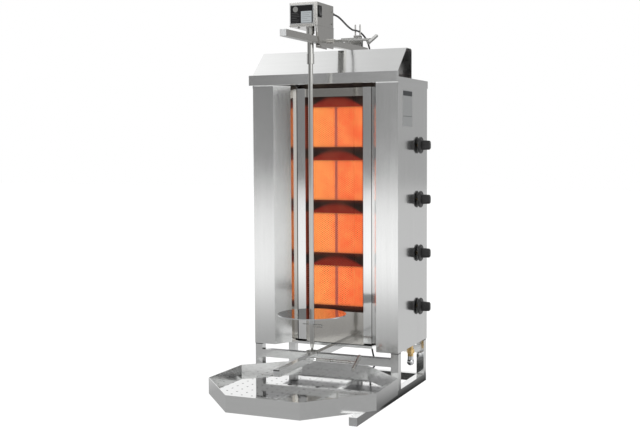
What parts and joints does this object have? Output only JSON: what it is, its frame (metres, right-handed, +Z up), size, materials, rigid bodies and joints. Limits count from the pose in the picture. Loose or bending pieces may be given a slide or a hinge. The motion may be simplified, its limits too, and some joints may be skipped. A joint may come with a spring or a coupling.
{
  "type": "gas doner kebab grill",
  "caption": "Upright gas grill with ceramic burners behind a mesh guard, a motor driven vertical spit on sliding carriages, gas knobs and a drip tray.",
  "frame": {"origin": "on the floor under the middle of the front floor tie, midway between the front posts", "axes": "+Z up, -Y towards the spit and the cook, +X towards the gas knobs"},
  "size_m": [0.573, 0.8153, 1.228],
  "materials": {
    "brushed_stainless": "satin",
    "polished_stainless": "polished",
    "heat_tinted_steel": "satin",
    "ceramic_burner": "matte",
    "brass": "satin",
    "chrome_fitting": "polished",
    "knob_black": "satin",
    "plug_black": "matte",
    "label_plate": "satin",
    "cast_grey": "matte",
    "zinc_screw": "satin",
    "cord_rubber": "matte"
  },
  "bodies": {
    "root": {"base_rails": "brushed_stainless", "posts": "brushed_stainless", "cross_tubes": "brushed_stainless", "plugs_and_spacers": "brushed_stainless", "wings": "brushed_stainless", "reflector_panels": "polished_stainless", "cabinet_panels": "brushed_stainless", "bottom_plate": "brushed_stainless", "top_cover": "brushed_stainless", "fascia": "brushed_stainless", "hood": "brushed_stainless", "guard_bars": "polished_stainless", "guard_mesh": "heat_tinted_steel", "ceramic_tiles": "ceramic_burner", "burners": "cast_grey", "burner_frame": "heat_tinted_steel", "flame_probes": "heat_tinted_steel", "gas_manifold": "brass", "gas_valves": "brass", "gas_inlet": "brass", "inlet_elbow": "chrome_fitting", "side_label": "label_plate", "panel_screws": "zinc_screw", "lower_arm": "brushed_stainless", "upper_arm": "brushed_stainless", "rear_pole": "brushed_stainless", "pole_straps": "brushed_stainless", "pole_clamp": "brushed_stainless", "cable_fork": "brushed_stainless", "cord_coil": "cord_rubber", "cord_free": "cord_rubber", "plug": "cord_rubber"},
    "drip_tray": {"drip_tray": "brushed_stainless"},
    "insert_left": {"tray_insert_left": "polished_stainless"},
    "insert_right": {"tray_insert_right": "polished_stainless"},
    "upper_carriage": {"motor_bracket": "brushed_stainless", "motor_case": "brushed_stainless", "case_trim": "label_plate", "cable_gland": "plug_black", "gear_motor": "cast_grey", "motor_screws": "zinc_screw"},
    "upper_screw": {"upper_clamp_screw": "zinc_screw"},
    "rocker": {"rocker": "knob_black"},
    "drive": {"drive_shaft": "polished_stainless"},
    "sleeve": {"coupling_sleeve": "polished_stainless"},
    "lower_carriage": {"lower_carriage": "brushed_stainless", "bearing_cup": "polished_stainless"},
    "lower_screw": {"lower_clamp_screw": "zinc_screw"},
    "spit": {"spit_rod": "polished_stainless"},
    "disc": {"meat_disc": "polished_stainless"},
    "pin": {"disc_pin": "zinc_screw"},
    "pole_screw": {"pole_clamp_screw": "zinc_screw"},
    "stem_1": {"valve_stem_1": "brass"},
    "knob_1": {"knob_1": "knob_black"},
    "stem_2": {"valve_stem_2": "brass"},
    "knob_2": {"knob_2": "knob_black"},
    "stem_3": {"valve_stem_3": "brass"},
    "knob_3": {"knob_3": "knob_black"},
    "stem_4": {"valve_stem_4": "brass"},
    "knob_4": {"knob_4": "knob_black"}
  },
  "joints": [
    {"name": "tray_pull", "type": "slide", "parent": "root", "child": "drip_tray", "axis": [0, -1, 0], "range_m": [0, 0.35]},
    {"name": "insert_left_lift", "type": "slide", "parent": "drip_tray", "child": "insert_left", "axis": [0, 0, 1], "range_m": [0, 0.03]},
    {"name": "insert_right_lift", "type": "slide", "parent": "drip_tray", "child": "insert_right", "axis": [0, 0, 1], "range_m": [0, 0.03]},
    {"name": "upper_carriage_slide", "type": "slide", "parent": "root", "child": "upper_carriage", "axis": [0, 1, 0], "range_m": [-0.1, 0.05], "deforming": ["cord_free"]},
    {"name": "lower_carriage_slide", "type": "slide", "parent": "root", "child": "lower_carriage", "axis": [0, 1, 0], "range_m": [-0.1, 0.05]},
    {"name": "upper_screw_turn", "type": "hinge", "parent": "upper_carriage", "child": "upper_screw", "pos_m": [0.1, -0.0405, 1.118], "axis": [1, 0, 0], "range_deg": [0, 180]},
    {"name": "lower_screw_turn", "type": "hinge", "parent": "lower_carriage", "child": "lower_screw", "pos_m": [0.1, -0.1375, 0.131], "axis": [1, 0, 0], "range_deg": [0, 180]},
    {"name": "pole_screw_turn", "type": "hinge", "parent": "root", "child": "pole_screw", "pos_m": [-0.0025, 0.25, 1.15], "axis": [0, 1, 0], "range_deg": [0, 30]},
    {"name": "rocker_press", "type": "hinge", "parent": "upper_carriage", "child": "rocker", "pos_m": [0.038, -0.129, 1.2005], "axis": [0, 1, 0], "range_deg": [0, 14]},
    {"name": "spit_spin", "type": "hinge", "parent": "lower_carriage", "child": "spit", "pos_m": [0, -0.1135, 0.6], "axis": [0, 0, 1], "continuous": true},
    {"name": "drive_spin", "type": "hinge", "parent": "upper_carriage", "child": "drive", "pos_m": [0, -0.1135, 1.1], "axis": [0, 0, 1], "continuous": true},
    {"name": "sleeve_lift", "type": "slide", "parent": "drive", "child": "sleeve", "axis": [0, 0, 1], "range_m": [0, 0.02]},
    {"name": "disc_lift", "type": "slide", "parent": "spit", "child": "disc", "axis": [0, 0, 1], "range_m": [0, 0.25]},
    {"name": "pin_pull", "type": "slide", "parent": "spit", "child": "pin", "axis": [1, 0, 0], "range_m": [0, 0.05]},
    {"name": "knob_1_push", "type": "slide", "parent": "root", "child": "stem_1", "axis": [-1, 0, 0], "range_m": [0, 0.004], "stiffness_N_per_m": 900},
    {"name": "knob_1_turn", "type": "hinge", "parent": "stem_1", "child": "knob_1", "pos_m": [0.27, 0.1885, 0.2643], "axis": [1, 0, 0], "range_deg": [0, 180]},
    {"name": "knob_2_push", "type": "slide", "parent": "root", "child": "stem_2", "axis": [-1, 0, 0], "range_m": [0, 0.004], "stiffness_N_per_m": 900},
    {"name": "knob_2_turn", "type": "hinge", "parent": "stem_2", "child": "knob_2", "pos_m": [0.27, 0.1885, 0.4405], "axis": [1, 0, 0], "range_deg": [0, 180]},
    {"name": "knob_3_push", "type": "slide", "parent": "root", "child": "stem_3", "axis": [-1, 0, 0], "range_m": [0, 0.004], "stiffness_N_per_m": 900},
    {"name": "knob_3_turn", "type": "hinge", "parent": "stem_3", "child": "knob_3", "pos_m": [0.27, 0.1885, 0.6167], "axis": [1, 0, 0], "range_deg": [0, 180]},
    {"name": "knob_4_push", "type": "slide", "parent": "root", "child": "stem_4", "axis": [-1, 0, 0], "range_m": [0, 0.004], "stiffness_N_per_m": 900},
    {"name": "knob_4_turn", "type": "hinge", "parent": "stem_4", "child": "knob_4", "pos_m": [0.27, 0.1885, 0.7929], "axis": [1, 0, 0], "range_deg": [0, 180]}
  ],
  "couplings": [
    {"joint": "lower_carriage_slide", "follows": "upper_carriage_slide", "ratio": 1},
    {"joint": "drive_spin", "follows": "spit_spin", "ratio": 1}
  ]
}
